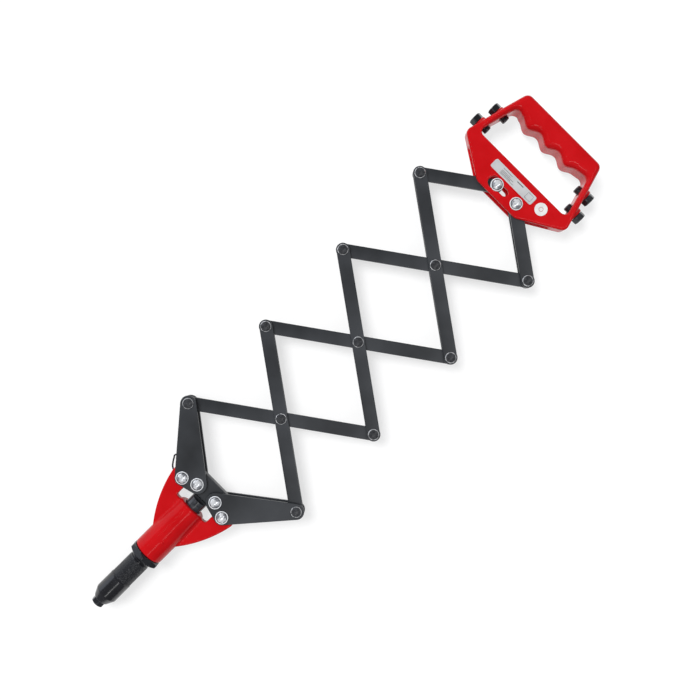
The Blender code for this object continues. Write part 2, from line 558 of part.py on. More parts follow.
def make_catch(parent, black):
    """Wire catch: an eye round the left pivot pin and a bent tip that hooks under the folded arm."""
    turns = arc(0, 0, CATCH_EYE, -150, 170, 16)
    arm = [(-4.2, 6.5), (-4.8, 10.5), (-3.2, 15.3), (0.4, 18.6), (4.2, 21.0), (7.2, 22.4),
           (8.6, 21.0), (7.4, 19.0), (4.2, 17.0)]
    curve = bpy.data.curves.new("wire_catch", "CURVE")
    curve.dimensions = "3D"
    curve.bevel_depth = CATCH_WIRE * MM
    curve.bevel_resolution = 1
    curve.use_fill_caps = True
    spline = curve.splines.new("POLY")
    height = -(LEVER_HIGH + GAP + CATCH_WIRE)
    points = turns + arm
    spline.points.add(len(points) - 1)
    for point, (x, y) in zip(spline.points, points):
        point.co = (x * MM, y * MM, height * MM, 1)
    curve.materials.append(black)
    catch = bpy.data.objects.new("wire_catch", curve)
    catch.parent = parent
    bpy.context.scene.collection.objects.link(catch)


def main():
    clear_scene()
    red = finish("red_gloss", (0.55, 0.008, 0.012), 0.25, 0.0)
    black = finish("black_satin", (0.045, 0.047, 0.052), 0.42, 0.3)
    steel = finish("bare_steel", (0.35, 0.35, 0.36), 0.3, 1.0)
    zinc = finish("bright_zinc", (0.72, 0.73, 0.75), 0.25, 1.0)
    label_grey = finish("label_silver", (0.55, 0.55, 0.57), 0.35, 0.4)
    white = finish("badge_white", (0.8, 0.8, 0.8), 0.4, 0.0)

    root = body("riveter", 0, 0)
    make_nose(root, black)
    make_housing(root, red)

    drawn = body("draw_bar_slide", 0, 0)
    make_draw_bar(drawn, black)
    make_jaw_case(drawn, steel)
    make_yoke(drawn, black)
    make_jaws([body(f"jaw_{i}_slide", 0, 0) for i in (1, 2, 3)], steel)
    make_jaw_spring(drawn, body("jaw_pusher_slide", 0, 0), steel)

    for name, side in (("left_lever", 1), ("right_lever", -1)):
        arm = body(f"{name}_joint", LEVER_PIVOT_X, side * LEVER_PIVOT_Y, side * LEVER_ANGLE)
        make_lever(name, arm, side, black, zinc)
    make_catch(body("wire_catch_joint", LEVER_PIVOT_X, LEVER_PIVOT_Y), black)

    slider = make_scissors(black, zinc)
    grip = body("handle_joint", HANDLE_X, HANDLE_Y)
    make_handle(grip, red, black)
    make_handle_fittings(grip, slider, zinc, label_grey, white)


main()
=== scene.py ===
"""Looks of the lazy-tong hand riveter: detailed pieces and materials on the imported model.

Lengths are in millimetres and are scaled to metres as each mesh is made. The tool's own zero is the first
scissor cell's centre pivot, +X runs to the handle and +Y to the left; the handle's zero is its fixed pin.
"""

import json
import math
import random

import bmesh
import bpy
import numpy as np
from mathutils import Matrix, Vector


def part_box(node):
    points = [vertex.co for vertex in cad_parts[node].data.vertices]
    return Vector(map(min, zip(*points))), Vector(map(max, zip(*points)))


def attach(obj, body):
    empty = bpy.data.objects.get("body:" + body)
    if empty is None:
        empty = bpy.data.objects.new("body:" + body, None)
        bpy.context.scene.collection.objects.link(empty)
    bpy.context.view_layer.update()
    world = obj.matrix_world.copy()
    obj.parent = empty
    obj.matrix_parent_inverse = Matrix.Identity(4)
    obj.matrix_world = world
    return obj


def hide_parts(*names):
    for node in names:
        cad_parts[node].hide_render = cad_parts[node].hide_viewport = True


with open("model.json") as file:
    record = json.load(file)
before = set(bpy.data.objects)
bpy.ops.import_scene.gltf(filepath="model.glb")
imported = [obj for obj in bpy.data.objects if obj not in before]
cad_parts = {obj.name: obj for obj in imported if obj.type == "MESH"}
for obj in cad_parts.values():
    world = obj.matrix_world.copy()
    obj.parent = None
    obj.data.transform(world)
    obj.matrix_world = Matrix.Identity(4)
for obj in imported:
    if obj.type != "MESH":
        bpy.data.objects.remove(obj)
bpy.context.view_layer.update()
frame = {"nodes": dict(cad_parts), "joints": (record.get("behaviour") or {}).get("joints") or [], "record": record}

MM = 0.001
JOINTS = {joint["name"]: joint for joint in frame["joints"]}
BODY_OF = {node: body for body, nodes in frame["record"]["behaviour"]["bodies"].items() for node in nodes}


def joint_at(name):
    return Vector(JOINTS[name]["pos_m"]) / MM


def low_high(node):
    low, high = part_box(node)
    return low / MM, high / MM


def centre_of(node):
    low, high = low_high(node)
    return (low + high) / 2


HOME = joint_at("link_1b_fold")
GRIP_HOME = joint_at("handle_fold")

# Nose and housing; the positions are along the tool's axis
NOSE_TIP, HEAD_LENGTH, THREAD_LENGTH = -263.4, 6.0, 14.0
HEAD_FLATS, THREAD_RADIUS, THREAD_PITCH, THREAD_PLAY = 12.0, 4.5, 1.25, 0.25
NOSEPIECE_BORES = {"nosepiece_fitted": 1.7, "nosepiece_spare_1": 1.3, "nosepiece_spare_2": 1.7,
                   "nosepiece_spare_3": 2.1, "nosepiece_spare_4": 2.5}
CONE_FRONT, CONE_REAR, KNURL_FRONT, NECK_FRONT, NECK_REAR = -257.2, -249.0, -228.0, -201.0, -177.0
BARREL_RADIUS, KNURL_RADIUS, NECK_RADIUS, BARREL_BORE = 12.0, 11.5, 10.6, 8.9
NUT_FLATS, NUT_TURN = 32.0, math.radians(3)
TUBE_FRONT, TUBE_REAR, TUBE_RADIUS, TUBE_TAPER = -190.0, -126.0, 16.2, 1.2
TAPER_FROM, TUBE_STEP, TUBE_BORE, FRONT_BORE = -166.0, -176.0, 9.3, 10.85
WING_TIP_RADIUS, WING_EDGE_RADIUS, WING_TIP_END, WING_INNER_Y = 13.0, 128.0, 102.3, 20.3

# Pins and rivets; the pivot where the linkage is open has a wide hole in link_1b and a thin rivet
PIN_HOLE, PIN_SHANK, PIN_FLANGE, RIVET_FLANGE = 3.3, 3.0, 6.6, 5.5
FLANGE_HEIGHT, PIN_CROWN_HEIGHT, RIVET_CROWN_HEIGHT = 0.9, 2.1, 2.4
OPEN_PIVOT_HOLE, OPEN_RIVET_HOLE, OPEN_RIVET_SHANK = 4.6, 2.3, 2.0

# Angle in degrees above which a casting's edge stays sharp
CAST_SHARP = 60

# Heights above the tool's mid-plane
PLATE_HIGH, CHEEK_LOW, CHEEK_HIGH, GRIP_HALF_HEIGHT = 5.05, 5.3, 9.3, 16.0

# Handle
GRIP_OUTER, FINGER_PITCH, FINGER_DEPTH, FINGER_MEAN_X, FINGER_CENTRE_Y = 86.0, 26.0, 2.7, 63.5, 19.1
SLOT_NEAR, SLOT_FAR, SLOT_HALF_WIDTH, SLOT_END_RADIUS = 16.0, 30.9, 3.8, 6.2
# Where the spare nosepieces stand: x, the side's y, and the way they point
NOSEPIECE_STORES = ((34.1, 85.5, 1), (54.3, 79.5, 1), (36.8, -51.5, -1), (56.3, -45.5, -1))


# ---------------------------------------------------------------- camera, floor and light

def make_camera():
    """Looks straight down; the picture is as wide as the view's span at the linkage's top."""
    view_span, distance, sensor, linkage_top = 700.0, 850.0, 36.0, 8
    aim_x, aim_y, turned = 26.5, 0.2, -44.9
    camera = bpy.data.cameras.new("camera")
    camera.sensor_width = sensor
    camera.lens = sensor * distance / view_span
    camera.clip_start, camera.clip_end = 0.01, 20
    obj = bpy.data.objects.new("camera", camera)
    obj.location = Vector((aim_x, aim_y, HOME.z + linkage_top + distance)) * MM
    obj.rotation_euler = (0, 0, math.radians(turned))
    bpy.context.scene.collection.objects.link(obj)
    bpy.context.scene.camera = obj


def make_floor():
    """White floor that glows a little, so that it stays white round the soft shadows."""
    half_size, grey, glow = 6, 0.42, 0.6
    bm = bmesh.new()
    bmesh.ops.create_grid(bm, x_segments=2, y_segments=2, size=half_size)
    mesh = bpy.data.meshes.new("floor")
    bm.to_mesh(mesh)
    bm.free()
    floor = bpy.data.objects.new("floor", mesh)
    bpy.context.scene.collection.objects.link(floor)
    material = bpy.data.materials.new("floor_white")
    material.use_nodes = True
    shader = material.node_tree.nodes["Principled BSDF"]
    shader.inputs["Base Color"].default_value = (grey, grey, grey, 1)
    shader.inputs["Roughness"].default_value = 0.9
    shader.inputs["Specular IOR Level"].default_value = 0.1
    shader.inputs["Emission Color"].default_value = (1, 1, 1, 1)
    shader.inputs["Emission Strength"].default_value = glow
    mesh.materials.append(material)


def sun(name, energy, off_vertical, heading, width):
    """Soft distant light that stands off the vertical towards a heading, in degrees from +X."""
    lamp = bpy.data.lights.new(name, "SUN")
    lamp.energy = energy
    lamp.angle = math.radians(width)
    lean, turned = math.radians(off_vertical), math.radians(heading)
    toward = Vector((math.sin(lean) * math.cos(turned), math.sin(lean) * math.sin(turned), math.cos(lean)))
    obj = bpy.data.objects.new(name, lamp)
    obj.rotation_euler = toward.to_track_quat("Z", "Y").to_euler()
    obj.location = toward * 2
    obj.visible_glossy = False
    bpy.context.scene.collection.objects.link(obj)


def panel(name, radiance, off_vertical, toward_y, size, colour=(1, 1, 1), distance=2.0):
    """Soft box seen only in reflections; it leans off the vertical towards +Y (1) or -Y (-1)."""
    width, depth = size
    lamp = bpy.data.lights.new(name, "AREA")
    lamp.shape = "RECTANGLE"
    lamp.size, lamp.size_y = width, depth
    lamp.color = colour
    lamp.energy = radiance * width * depth * math.pi
    obj = bpy.data.objects.new(name, lamp)
    lean = math.radians(off_vertical) * toward_y
    obj.location = Vector((0, math.sin(lean), math.cos(lean))) * distance
    obj.rotation_euler = (-lean, 0, 0)
    obj.visible_diffuse = False
    bpy.context.scene.collection.objects.link(obj)


def make_light():
    """Dim studio behind a white backdrop, three soft suns, and two panels for the reflections."""
    world = bpy.data.worlds.new("studio")
    world.use_nodes = True
    nodes, links = world.node_tree.nodes, world.node_tree.links
    background = nodes["Background"]
    background.inputs["Strength"].default_value = 1.0
    path = nodes.new("ShaderNodeLightPath")
    shade = nodes.new("ShaderNodeMix")
    shade.data_type = "RGBA"
    shade.inputs["A"].default_value = (0.16, 0.163, 0.172, 1)
    shade.inputs["B"].default_value = (0.95, 0.95, 0.95, 1)
    links.new(path.outputs["Is Camera Ray"], shade.inputs["Factor"])
    links.new(shade.outputs["Result"], background.inputs["Color"])
    bpy.context.scene.world = world
    sun("key", 2.05, 28, 95, 30)
    sun("fill", 1.1, 4, 270, 120)
    sun("low", 0.25, 60, 180, 70)
    panel("strip", 6.0, 15, -1, (3.0, 0.14))
    panel("wall", 1.1, 74, 1, (3.0, 1.5), (0.82, 0.88, 1.0))
    bpy.context.scene.view_settings.view_transform = "Standard"


# ---------------------------------------------------------------- materials

def shader_of(name):
    material = bpy.data.materials.new(name)
    material.use_nodes = True
    return material, material.node_tree.nodes, material.node_tree.links


def noise(nodes, links, source, scale, detail=3.0, stretch=(1, 1, 1)):
    """Noise over the piece's own coordinates; stretch draws the grain out along an axis."""
    mapping = nodes.new("ShaderNodeMapping")
    mapping.inputs["Scale"].default_value = stretch
    links.new(source, mapping.inputs["Vector"])
    texture = nodes.new("ShaderNodeTexNoise")
    texture.inputs["Scale"].default_value = scale
    texture.inputs["Detail"].default_value = detail
    links.new(mapping.outputs["Vector"], texture.inputs["Vector"])
    return texture.outputs["Fac"]


def spread(nodes, links, value, low, high, start=0.35, end=0.65):
    """Maps noise, which lies mostly between start and end, to low and high."""
    mapped = nodes.new("ShaderNodeMapRange")
    mapped.inputs["From Min"].default_value = start
    mapped.inputs["From Max"].default_value = end
    mapped.inputs["To Min"].default_value = low
    mapped.inputs["To Max"].default_value = high
    links.new(value, mapped.inputs["Value"])
    return mapped.outputs["Result"]


def mixed(nodes, links, factor, first, second):
    mix = nodes.new("ShaderNodeMix")
    mix.data_type = "RGBA"
    for socket, value in (("A", first), ("B", second)):
        if isinstance(value, tuple):
            mix.inputs[socket].default_value = (*value, 1)
        else:
            links.new(value, mix.inputs[socket])
    links.new(factor, mix.inputs["Factor"])
    return mix.outputs["Result"]


def surface(name, dark, light, rough, metallic=0.0, cloud=45, grain=1400, depth=0.012,
            stretch=(1, 1, 1), specular=0.5, edge_highlight=None, painted_reflection=None):
    """Clouded colour, uneven gloss and a fine grain; the colour given for edges is a painted highlight, lighter on
    convex edges in patches.

    The darker colour given for large spots is a painted reflection, as a bright crown mirrors its surroundings.
    """
    edge_highlight_scale, reflection_scale, bump_strength = 260, 230, 0.6
    material, nodes, links = shader_of(name)
    shader = nodes["Principled BSDF"]
    shader.inputs["Metallic"].default_value = metallic
    shader.inputs["Specular IOR Level"].default_value = specular
    own = nodes.new("ShaderNodeTexCoord").outputs["Object"]
    colour = mixed(nodes, links, spread(nodes, links, noise(nodes, links, own, cloud), 0, 1), dark, light)
    # Painted highlight: the edge colour laid on convex edges, in patches.
    if edge_highlight:
        edge = nodes.new("ShaderNodeNewGeometry").outputs["Pointiness"]
        patchy_highlight = spread(nodes, links, noise(nodes, links, own, edge_highlight_scale), 0.2, 1.0)
        ridge = spread(nodes, links, edge, 0, 1, 0.54, 0.62)
        amount = nodes.new("ShaderNodeMath")
        amount.operation = "MULTIPLY"
        links.new(patchy_highlight, amount.inputs[0])
        links.new(ridge, amount.inputs[1])
        colour = mixed(nodes, links, amount.outputs["Value"], colour, edge_highlight)
    # Painted reflection: darker spots laid over the colour.
    if painted_reflection:
        reflection_spots = noise(nodes, links, own, reflection_scale, 1.0, (1, 1, 0.2))
        reflection_spots = spread(nodes, links, reflection_spots, 0, 1, 0.5, 0.62)
        colour = mixed(nodes, links, reflection_spots, colour, painted_reflection)
    links.new(colour, shader.inputs["Base Color"])
    gloss = noise(nodes, links, own, cloud * 3, stretch=stretch)
    links.new(spread(nodes, links, gloss, *rough), shader.inputs["Roughness"])
    bump = nodes.new("ShaderNodeBump")
    bump.inputs["Strength"].default_value = bump_strength
    bump.inputs["Distance"].default_value = depth * MM
    links.new(noise(nodes, links, own, grain, stretch=stretch), bump.inputs["Height"])
    links.new(bump.outputs["Normal"], shader.inputs["Normal"])
    return material


def make_materials():
    return {
        "red": surface("red_enamel", (0.49, 0.004, 0.006), (0.54, 0.006, 0.009), (0.1, 0.15),
                       grain=500, depth=0.0006, specular=0.15),
        # bar_black's edge colour is a painted highlight on the edges of the bars, lever plates and yoke.
        "bar": surface("bar_black", (0.017, 0.019, 0.022), (0.041, 0.0445, 0.051), (0.34, 0.46),
                       cloud=16, stretch=(0.2, 1, 1), edge_highlight=(0.08, 0.084, 0.092)),
        # nose_black's edge colour is a painted highlight on the edges of the pieces that use it.
        "nose": surface("nose_black", (0.006, 0.0065, 0.008), (0.014, 0.015, 0.018), (0.14, 0.24),
                        specular=0.65, edge_highlight=(0.10, 0.105, 0.12)),
        # rivet_crown's edge colour is a painted highlight on the crowns' edges; on the pins this material also
        # paints the shadow line round each crown's foot.
        "crown": surface("rivet_crown", (0.020, 0.021, 0.024), (0.045, 0.047, 0.052), (0.25, 0.4),
                         cloud=300, edge_highlight=(0.2, 0.2, 0.21)),
        "flange": surface("rivet_flange", (0.16, 0.165, 0.17), (0.86, 0.87, 0.89), (0.22, 0.36),
                          metallic=0.4, cloud=420, stretch=(1, 1, 0.2)),
        # bright_crown's darker spots are a painted reflection of the surroundings.
        "dome": surface("bright_crown", (0.80, 0.82, 0.85), (0.94, 0.96, 0.99), (0.12, 0.2),
                        metallic=0.4, cloud=220, painted_reflection=(0.3, 0.31, 0.34)),
        "zinc": surface("bright_zinc", (0.82, 0.84, 0.87), (0.94, 0.96, 0.99), (0.16, 0.26),
                        metallic=0.35, cloud=220, stretch=(1, 1, 0.3)),
        "steel": surface("ground_steel", (0.34, 0.34, 0.35), (0.5, 0.5, 0.51), (0.22, 0.38),
                         metallic=1.0, cloud=150, stretch=(1, 0.1, 1)),
        "foil": surface("label_foil", (0.56, 0.56, 0.57), (0.64, 0.64, 0.65), (0.3, 0.42),
                        metallic=0.2, cloud=80, stretch=(1, 0.1, 1), depth=0.004),
        "ink": surface("label_ink", (0.04, 0.04, 0.045), (0.07, 0.07, 0.075), (0.4, 0.5), cloud=400,
                       depth=0.003),
        "print": surface("badge_print", (0.42, 0.16, 0.17), (0.5, 0.2, 0.2), (0.4, 0.5), cloud=400,
                         depth=0.003),
        "white": surface("badge_white", (0.68, 0.68, 0.67), (0.78, 0.78, 0.77), (0.3, 0.4), cloud=150,
                         depth=0.004),
    }


# ---------------------------------------------------------------- outlines

def arc(cx, cy, radius, start, end, steps):
    """Points along an arc, from start to end in degrees."""
    angles = (math.radians(start + (end - start) * i / steps) for i in range(steps + 1))
    return [(cx + radius * math.cos(a), cy + radius * math.sin(a)) for a in angles]


def circle(cx, cy, radius, steps=48):
    return arc(cx, cy, radius, 0, 360, steps)[:-1]


def rounded(corners, steps=10):
    """Closed outline through (x, y, radius) corners, each replaced by an arc of its radius."""
    points = []
    for i, (x, y, radius) in enumerate(corners):
        corner = Vector((x, y))
        before = (Vector(corners[i - 1][:2]) - corner).normalized()
        after = (Vector(corners[(i + 1) % len(corners)][:2]) - corner).normalized()
        half = before.angle(after) / 2
        centre = corner + (before + after).normalized() * radius / math.sin(half)
        tangent = radius / math.tan(half)
        first, last = corner + before * tangent - centre, corner + after * tangent - centre
        for step in range(steps + 1):
            points.append(tuple(centre + first.lerp(last, step / steps).normalized() * radius))
    return points


def box_corners(x_low, y_low, x_high, y_high, radius):
    """Corners of a rectangle, for rounded()."""
    corners = ((x_low, y_low), (x_high, y_low), (x_high, y_high), (x_low, y_high))
    return [(x, y, radius) for x, y in corners]


def turn(a, b, c):
    """Positive where the path a, b, c bends to the left."""
    return (b[0] - a[0]) * (c[1] - a[1]) - (b[1] - a[1]) * (c[0] - a[0])


def hull(circles, steps=120):
    """Convex outline round circles given as (x, y, radius)."""
    cloud = sorted(p for x, y, r in circles for p in circle(x, y, r, steps))
    chains = []
    for ordered in (cloud, cloud[::-1]):
        chain = []
        for p in ordered:
            while len(chain) > 1 and turn(chain[-2], chain[-1], p) <= 1e-6:
                chain.pop()
            chain.append(p)
        chains += chain[:-1]
    return chains


def finger_edge(steps=60):
    """Wavy inner edge of the grip, from its left end to its right end."""
    top = FINGER_CENTRE_Y + 1.5 * FINGER_PITCH
    points = []
    for i in range(steps + 1):
        y = top - 3 * FINGER_PITCH * i / steps
        phase = math.tau * (y - FINGER_CENTRE_Y) / FINGER_PITCH
        points.append((FINGER_MEAN_X - FINGER_DEPTH * math.cos(phase), y))
    return points


# ---------------------------------------------------------------- solids

def prism(outline, low, high, holes=(), edge=0.0, segments=2):
    """Flat plate between two heights with through holes; edge rounds the rims of both faces."""
    bm = bmesh.new()
    for ring in (outline, *holes):
        verts = [bm.verts.new((x, y, low)) for x, y in ring]
        for a, b in zip(verts, verts[1:] + verts[:1]):
            bm.edges.new((a, b))
    bmesh.ops.triangle_fill(bm, use_beauty=True, edges=bm.edges[:], normal=(0, 0, 1))
    raised = bmesh.ops.extrude_face_region(bm, geom=bm.faces[:], use_keep_orig=True)
    verts = [g for g in raised["geom"] if isinstance(g, bmesh.types.BMVert)]
    bmesh.ops.translate(bm, vec=(0, 0, high - low), verts=verts)
    bmesh.ops.recalc_face_normals(bm, faces=bm.faces[:])
    if edge:
        rims = [e for e in bm.edges if len(e.link_faces) == 2 and e.calc_face_angle(0) > 1
                and abs(e.verts[0].co.z - e.verts[1].co.z) < 1e-4]
        bmesh.ops.bevel(bm, geom=rims, offset=edge, segments=segments, profile=0.5, affect="EDGES")
    return bm


def hexagon(flats, corner_cut=0.985):
    """Radius of a hexagon with slightly blunt corners, as a function of the angle."""
    corner = flats / math.sqrt(3) * corner_cut
    return lambda a: min(flats / 2 / math.cos(a % (math.pi / 3) - math.pi / 6), corner)


def lofted(rings, steps=48, bands=(), bored=False):
    """Solid about Z from (height, radius) rings; a radius may be a function of the angle.

    bands gives each band's material index. A bored solid joins its last ring to its first.
    """
    bm = bmesh.new()
    loops = []
    for height, radius in rings:
        loop = []
        for i in range(steps):
            a = math.tau * i / steps
            r = radius(a) if callable(radius) else radius
            loop.append(bm.verts.new((r * math.cos(a), r * math.sin(a), height)))
        loops.append(loop)
    pairs = list(zip(loops, loops[1:] + loops[:1])) if bored else list(zip(loops, loops[1:]))
    for index, (one, two) in enumerate(pairs):
        for i in range(steps):
            j = (i + 1) % steps
            face = bm.faces.new((one[i], one[j], two[j], two[i]))
            face.material_index = bands[index] if index < len(bands) else 0
    if not bored:
        for loop, index in ((loops[0], 0), (loops[-1], len(pairs) - 1)):
            bm.faces.new(loop).material_index = bands[index] if index < len(bands) else 0
    bmesh.ops.recalc_face_normals(bm, faces=bm.faces[:])
    return bm


def threaded(start, end, radius, pitch, depth, rows=6):
    """Rings of a screw thread; its ends run out into the plain radius."""
    count = round((end - start) / pitch * rows)
    rings = []
    for i in range(count + 1):
        z = start + (end - start) * i / count
        fade = min(1.0, 1.5 * min(i, count - i) / rows)

        def ridge(a, z=z, fade=fade):
            phase = (z / pitch - a / math.tau) % 1
            return radius - depth * fade * abs(2 * phase - 1)
        rings.append((z, ridge))
    return rings


def knurled(start, end, radius, depth=0.3, teeth=48, row=0.3):
    """Rings of a diamond knurl."""
    count = round((end - start) / row)
    lead = math.tau * radius / teeth
    rings = []
    for i in range(count + 1):
        z = start + (end - start) * i / count

        def diamonds(a, z=z):
            right = (a * teeth / math.tau + z / lead) % 1
            left = (a * teeth / math.tau - z / lead) % 1
            groove = min(abs(2 * right - 1), abs(2 * left - 1))
            return radius - depth + depth * min(1.0, 2.2 * groove)
        rings.append((z, diamonds))
    return rings


ALONG_X = Matrix.Rotation(math.pi / 2, 4, "Y")


# ---------------------------------------------------------------- pieces

def add(name, mesh, node_names, body, materials, place=(0, 0, 0), turned_by=(0, 0, 0), sharp=32):
    """Puts a mesh in the scene as a piece that rides on a body and stands for CAD nodes."""
    for material in materials:
        mesh.materials.append(material)
    mesh.shade_smooth()
    mesh.set_sharp_from_angle(angle=math.radians(sharp))
    obj = bpy.data.objects.new(name, mesh)
    obj.location = Vector(place) * MM
    obj.rotation_euler = turned_by
    bpy.context.scene.collection.objects.link(obj)
    if sharp < CAST_SHARP:
        normals = obj.modifiers.new("flat_faces", "WEIGHTED_NORMAL")
        normals.keep_sharp = True
    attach(obj, body)
    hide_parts(*node_names)
    return obj


def mesh_of(name, bm, turned=None):
    if turned is not None:
        bmesh.ops.transform(bm, matrix=turned, verts=bm.verts[:])
    bmesh.ops.scale(bm, vec=(MM, MM, MM), verts=bm.verts[:])
    mesh = bpy.data.meshes.new(name)
    bm.to_mesh(mesh)
    bm.free()
    return mesh


def edge_distance(outline, points):
    """Distance of each point from a closed outline, positive inside it."""
    x, y = points[:, 0], points[:, 1]
    nearest = np.full(len(points), np.inf)
    inside = np.zeros(len(points), bool)
    for (ax, ay), (bx, by) in zip(outline, outline[1:] + outline[:1]):
        dx, dy = bx - ax, by - ay
        length_squared = dx * dx + dy * dy
        if length_squared < 1e-12:
            continue
        along = np.clip(((x - ax) * dx + (y - ay) * dy) / length_squared, 0, 1)
        nearest = np.minimum(nearest, np.hypot(x - ax - along * dx, y - ay - along * dy))
        if dy:
            inside ^= ((ay > y) != (by > y)) & (x < ax + (y - ay) * dx / dy)
    return np.where(inside, nearest, -nearest)


def ramp(value, start, end, low, high):
    """Smooth change from low to high as the value goes from start to end."""
    share = np.clip((value - start) / (end - start), 0, 1)
    return low + (high - low) * share * share * (3 - 2 * share)


def quarter_round(distance, radius):
    """How far below full height a rounded edge lies, at a distance in from it."""
    depth = radius - np.clip(distance, 0, radius)
    return radius - np.sqrt(radius * radius - depth * depth)


def remeshed(obj, voxel, smoothing):
    """Remeshes an object's evaluated shape into one closed surface; smoothing is a number of passes."""
    fused = obj.modifiers.new("fused", "REMESH")
    fused.mode = "VOXEL"
    fused.voxel_size = voxel
    if smoothing:
        soft = obj.modifiers.new("soft", "SMOOTH")
        soft.factor = 0.5
        soft.iterations = smoothing
    bpy.context.view_layer.update()
    mesh = bpy.data.meshes.new_from_object(obj.evaluated_get(bpy.context.evaluated_depsgraph_get()))
    obj.modifiers.clear()
    obj.data = mesh
    return mesh


def cast(name, first, steps, voxel, smoothing, shape):
    """One casting from a first solid and (operation, solid) steps, its corners softened as in a mould.

    shape moves the fused surface's points before the last smoothing.
    """
    made = []

    def scratch(label, bm):
        mesh = bpy.data.meshes.new(label)
        bm.to_mesh(mesh)
        bm.free()
        obj = bpy.data.objects.new(label, mesh)
        bpy.context.scene.collection.objects.link(obj)
        made.append(obj)
        return obj

    base = scratch(name, first)
    for index, (operation, bm) in enumerate(steps):
        step = base.modifiers.new(f"step_{index}", "BOOLEAN")
        step.operation = operation
        step.solver = "EXACT"
        step.object = scratch(f"{name}_step_{index}", bm)
    mesh = remeshed(base, voxel, 0)
    points = np.empty(len(mesh.vertices) * 3)
    mesh.vertices.foreach_get("co", points)
    mesh.vertices.foreach_set("co", shape(points.reshape(-1, 3)).ravel())
    mesh.update()
    mesh = remeshed(base, voxel, smoothing)
    mesh.materials.clear()
    mesh.name = name
    mesh.transform(Matrix.Scale(MM, 4))
    for obj in made:
        bpy.data.objects.remove(obj, do_unlink=True)
    return mesh


# ---------------------------------------------------------------- bars, levers and pins

def bar_outline(length, half_width=6.7, end_radius=7.0, steps=40):
    """Bar along X with two round ends that bulge a little past its sides."""
    side = 180 - math.degrees(math.asin(half_width / end_radius))
    far_end = arc(length, 0, end_radius, -side, side, steps)
    return far_end + arc(0, 0, end_radius, 180 - side, 180 + side, steps)


def make_bar(start, end, nodes, holes, looks):
    """holes are (distance along the bar, radius)."""
    along = end - start
    angle = math.atan2(along.y, along.x)
    length = math.hypot(along.x, along.y)
    for node in nodes:
        low, high = low_high(node)
        rings = [circle(x, 0, radius) for x, radius in holes]
        plate = prism(bar_outline(length), low.z - HOME.z, high.z - HOME.z, rings, edge=0.45)
        label = node.replace("link", "bar")
        add(label, mesh_of(label, plate), [node], BODY_OF[node], [looks["bar"]],
            (start.x, start.y, HOME.z), (0, 0, angle))


def make_bars(looks):
    ends = {
        "link_1a": (joint_at("link_1a_fold"), joint_at("link_2b_fold")),
        "link_1b": (centre_of("right_lever_end_rivet"), joint_at("link_2a_fold")),
        "link_2a": (joint_at("link_2a_fold"), joint_at("link_3b_fold")),
        "link_2b": (joint_at("link_2b_fold"), joint_at("link_3a_fold")),
        "link_3a": (joint_at("link_3a_fold"), joint_at("link_4b_fold")),
        "link_3b": (joint_at("link_3b_fold"), joint_at("link_4a_fold")),
        "link_4a": (joint_at("link_4a_fold"), centre_of("handle_slot_pin")),
        "link_4b": (joint_at("link_4b_fold"), joint_at("handle_fold")),
    }
    for name, (start, end) in ends.items():
        length = math.hypot(end.x - start.x, end.y - start.y)
        holes = [(0, OPEN_PIVOT_HOLE if name == "link_1b" else PIN_HOLE), (length, PIN_HOLE)]
        if not name.startswith("link_4"):
            holes.append((length / 2, PIN_HOLE))
        nodes = [node for node in frame["nodes"] if node == name or node.startswith(name + "_")]
        make_bar(start, end, nodes, holes, looks)


def make_lever_plates(looks):
    pivot_radius, inner_radius, end_radius = 7.8, 9.6, 8.0
    for side in ("left", "right"):
        lever = f"{side}_lever"
        pivot, inner, end = (centre_of(f"{lever}_{pin}") for pin in ("pivot_pin", "yoke_pin", "end_rivet"))
        inner, end = inner - pivot, end - pivot
        end_hole = PIN_HOLE if side == "left" else OPEN_RIVET_HOLE
        outline = hull([(0, 0, pivot_radius), (inner.x, inner.y, inner_radius), (end.x, end.y, end_radius)])
        holes = [circle(0, 0, PIN_HOLE), circle(inner.x, inner.y, PIN_HOLE), circle(end.x, end.y, end_hole)]
        for level in ("upper", "lower"):
            node = f"{lever}_{level}_plate"
            low, high = low_high(node)
            plate = prism(outline, low.z - HOME.z, high.z - HOME.z, holes, edge=0.5)
            name = f"{side}_arm_{level}"
            add(name, mesh_of(name, plate), [node], lever, [looks["bar"]],
                (pivot.x, pivot.y, HOME.z))


def pin_end(flange_radius, head, seat, way):
    """Rings of one pin head from its seat outwards; way is +1 for the upper end and -1 for the lower."""
    rings = [(0, flange_radius - 0.25), (0.25, flange_radius), (FLANGE_HEIGHT - 0.3, flange_radius),
             (FLANGE_HEIGHT, flange_radius - 0.35)]
    return [(seat + way * height, radius) for height, radius in rings + head(FLANGE_HEIGHT)]


def rivet_crown(flange):
    """Blunt hexagonal crown with a low dome on top."""
    flats, foot, shoulder, dome, top = 8.5, 4.75, 1.35, 3.1, RIVET_CROWN_HEIGHT
    edge = flange + shoulder
    return [(flange, foot + 0.2), (flange + 0.02, hexagon(flats, 0.96)), (edge, hexagon(flats, 0.95)),
            (edge + 0.35, hexagon(flats - 1.2, 0.95)), (edge + 0.4, dome + 0.15),
            (edge + 0.7, dome - 0.25), (flange + top - 0.12, dome * 0.6),
            (flange + top, dome * 0.2)]


def pin_crown(flange):
    """Low domed crown with eight blunt facets on its shoulder."""
    top, facets = PIN_CROWN_HEIGHT, 8

    def faceted(radius, amount):
        share = math.pi / facets

        def radius_at(a):
            flat = radius * math.cos(share) / math.cos((a + share) % (2 * share) - share)
            return radius + (flat - radius) * amount
        return radius_at
    # The first band, from radius 5.6 in to 5.2, is the narrow ring at the crown's foot that the pins paint dark as
    # a shadow line.
    return [(flange, 5.6), (flange + 0.05, faceted(5.2, 1)), (flange + 0.9, faceted(4.6, 1)),
            (flange + 1.3, faceted(3.9, 0.8)), (flange + 1.75, faceted(2.7, 0.3)), (flange + 2.0, 1.5),
            (flange + top, 0.5)]


